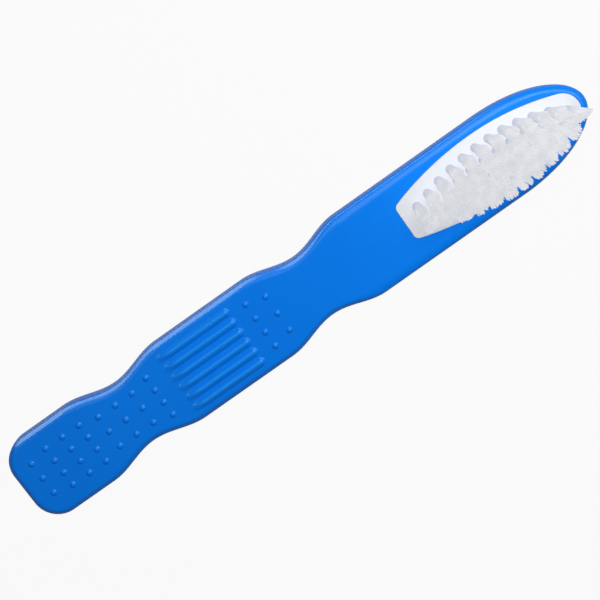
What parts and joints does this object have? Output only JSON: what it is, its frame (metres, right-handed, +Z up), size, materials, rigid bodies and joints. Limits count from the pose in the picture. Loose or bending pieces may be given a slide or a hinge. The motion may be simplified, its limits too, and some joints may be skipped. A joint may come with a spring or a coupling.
{
  "type": "toothbrush",
  "caption": "Short, wide toothbrush: flat waisted handle with raised grip dots and ribs, and a tapered head with rows of soft bristle tufts in a let-in plate.",
  "frame": {"origin": "middle of the brush's length and width, on the flat back that it lies on", "axes": "+X along the handle from the tail to the bristle head, +Y across it, +Z up through the bristles"},
  "size_m": [0.104, 0.0142, 0.0125],
  "materials": {
    "blue_plastic": "glossy, smooth moulded",
    "white_plastic": "satin, smooth moulded",
    "white_nylon": "soft filament"
  },
  "bodies": {
    "root": {"handle": "blue_plastic", "tuft_01_1": "white_nylon", "tuft_01_2": "white_nylon", "tuft_02_1": "white_nylon", "tuft_02_2": "white_nylon", "tuft_02_3": "white_nylon", "tuft_03_1": "white_nylon", "tuft_03_2": "white_nylon", "tuft_03_3": "white_nylon", "tuft_04_1": "white_nylon", "tuft_04_2": "white_nylon", "tuft_04_3": "white_nylon", "tuft_04_4": "white_nylon", "tuft_05_1": "white_nylon", "tuft_05_2": "white_nylon", "tuft_05_3": "white_nylon", "tuft_05_4": "white_nylon", "tuft_06_1": "white_nylon", "tuft_06_2": "white_nylon", "tuft_06_3": "white_nylon", "tuft_06_4": "white_nylon", "tuft_07_1": "white_nylon", "tuft_07_2": "white_nylon", "tuft_07_3": "white_nylon", "tuft_07_4": "white_nylon", "tuft_08_1": "white_nylon", "tuft_08_2": "white_nylon", "tuft_08_3": "white_nylon", "tuft_08_4": "white_nylon", "tuft_09_1": "white_nylon", "tuft_09_2": "white_nylon", "tuft_09_3": "white_nylon", "tuft_09_4": "white_nylon", "tuft_10_1": "white_nylon", "tuft_10_2": "white_nylon", "tuft_10_3": "white_nylon", "tuft_11_1": "white_nylon", "tuft_11_2": "white_nylon", "tuft_12_1": "white_nylon", "tufting_plate": "white_plastic"}
  },
  "joints": []
}
